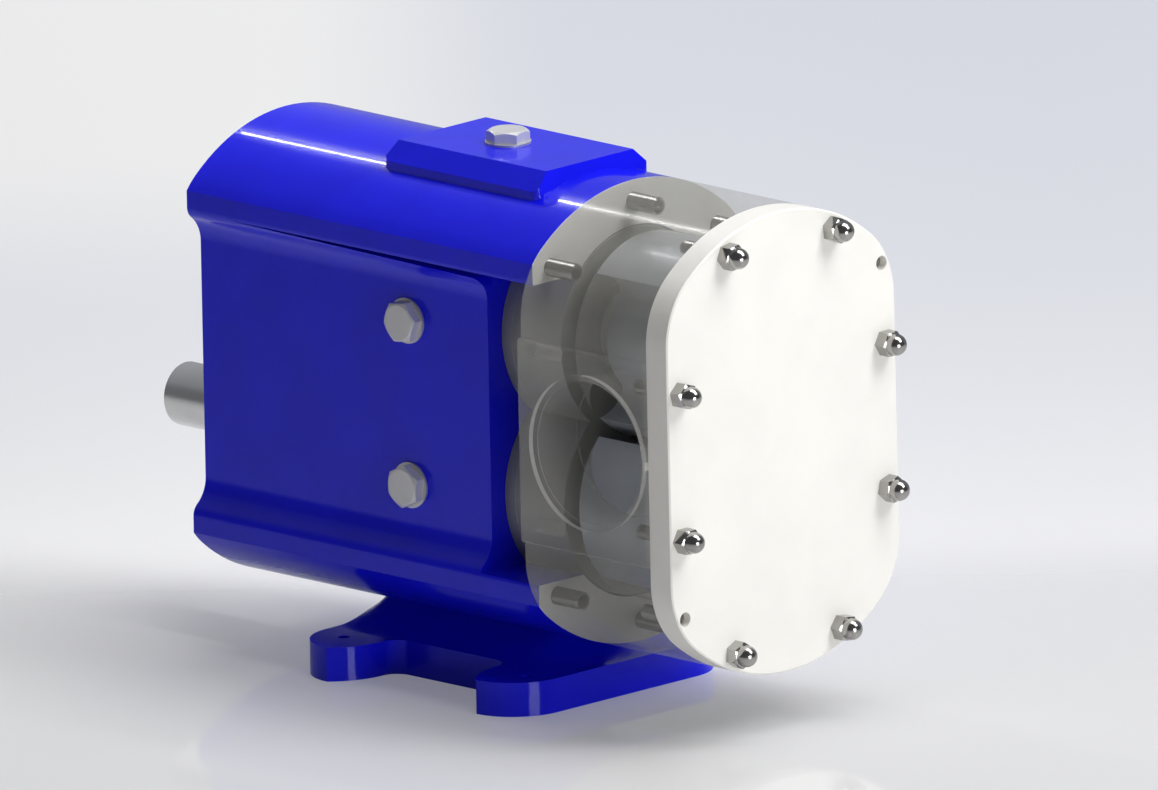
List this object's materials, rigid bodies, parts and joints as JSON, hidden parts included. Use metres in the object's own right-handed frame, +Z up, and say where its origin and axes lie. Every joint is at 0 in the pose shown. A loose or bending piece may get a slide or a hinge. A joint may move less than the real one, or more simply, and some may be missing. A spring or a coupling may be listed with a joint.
{
  "type": "rotary lobe pump",
  "caption": "Rotary lobe pump: double-winged rotors in a clear case with side ports, on two geared shafts in a painted waisted gearbox with a bolt-down foot.",
  "frame": {"origin": "centre of the four foot bolt holes, in the plane of the base", "axes": "+Z up, +Y along the shafts from the front cover to the drive end, +X across the pump through the ports"},
  "size_m": [0.182, 0.474, 0.3034],
  "materials": {
    "blue_paint": "gloss",
    "clear_case": "clear, polished",
    "white_cover": "satin",
    "polished_steel": "polished",
    "zinc_steel": "satin",
    "pale_plug": "satin",
    "sealing_washer": "satin",
    "grey_steel": "satin",
    "shaft_steel": "polished",
    "rotor_steel": "satin",
    "gear_steel": "oiled",
    "bearing_steel": "ground",
    "cage_brass": "satin",
    "black_rubber": "matte",
    "seal_carbon": "lapped",
    "seal_ceramic": "lapped"
  },
  "bodies": {
    "pump_frame": {"bearing_outer_races": "bearing_steel", "cap_nuts": "polished_steel", "cover_dowels": "polished_steel", "cover_gasket": "black_rubber", "cover_studs": "polished_steel", "drive_oil_seal": "black_rubber", "filler_plug": "pale_plug", "foot": "blue_paint", "foot_screws": "zinc_steel", "front_cover": "white_cover", "gearbox_housing": "blue_paint", "joint_studs": "polished_steel", "oil_seals": "black_rubber", "plug_washers": "sealing_washer", "rear_cover": "blue_paint", "rear_cover_screws": "zinc_steel", "retainer_plate": "grey_steel", "retainer_screws": "zinc_steel", "rotor_case": "clear_case", "seal_housing": "grey_steel", "side_plugs": "pale_plug", "stationary_seal_rings": "seal_ceramic"},
    "drive_shaft_line": {"drive_bearing_spacer": "shaft_steel", "drive_gear_key": "shaft_steel", "drive_inner_races": "bearing_steel", "drive_lock_nut": "shaft_steel", "drive_rotor": "rotor_steel", "drive_rotor_key": "shaft_steel", "drive_rotor_nut": "polished_steel", "drive_seal_collar": "grey_steel", "drive_seal_ring": "seal_carbon", "drive_shaft": "shaft_steel", "drive_timing_gear": "gear_steel"},
    "driven_shaft_line": {"driven_bearing_spacer": "shaft_steel", "driven_gear_key": "shaft_steel", "driven_inner_races": "bearing_steel", "driven_lock_nut": "shaft_steel", "driven_rotor": "rotor_steel", "driven_rotor_key": "shaft_steel", "driven_rotor_nut": "polished_steel", "driven_seal_collar": "grey_steel", "driven_seal_ring": "seal_carbon", "driven_shaft": "shaft_steel", "driven_timing_gear": "gear_steel"},
    "drive_bearing_cage_set": {"drive_bearing_rollers": "bearing_steel", "drive_bearing_cages": "cage_brass"},
    "driven_bearing_cage_set": {"driven_bearing_rollers": "bearing_steel", "driven_bearing_cages": "cage_brass"}
  },
  "joints": [
    {"name": "drive_shaft_spin", "type": "hinge", "parent": "pump_frame", "child": "drive_shaft_line", "pos_m": [0, 0, 0.116], "axis": [0, 1, 0], "continuous": true},
    {"name": "driven_shaft_spin", "type": "hinge", "parent": "pump_frame", "child": "driven_shaft_line", "pos_m": [0, 0, 0.206], "axis": [0, 1, 0], "continuous": true},
    {"name": "drive_cage_spin", "type": "hinge", "parent": "pump_frame", "child": "drive_bearing_cage_set", "pos_m": [0, 0, 0.116], "axis": [0, 1, 0], "continuous": true},
    {"name": "driven_cage_spin", "type": "hinge", "parent": "pump_frame", "child": "driven_bearing_cage_set", "pos_m": [0, 0, 0.206], "axis": [0, 1, 0], "continuous": true}
  ],
  "couplings": [
    {"joint": "driven_shaft_spin", "follows": "drive_shaft_spin", "ratio": -1},
    {"joint": "drive_cage_spin", "follows": "drive_shaft_spin", "ratio": 0.4167},
    {"joint": "driven_cage_spin", "follows": "drive_shaft_spin", "ratio": -0.4167}
  ]
}
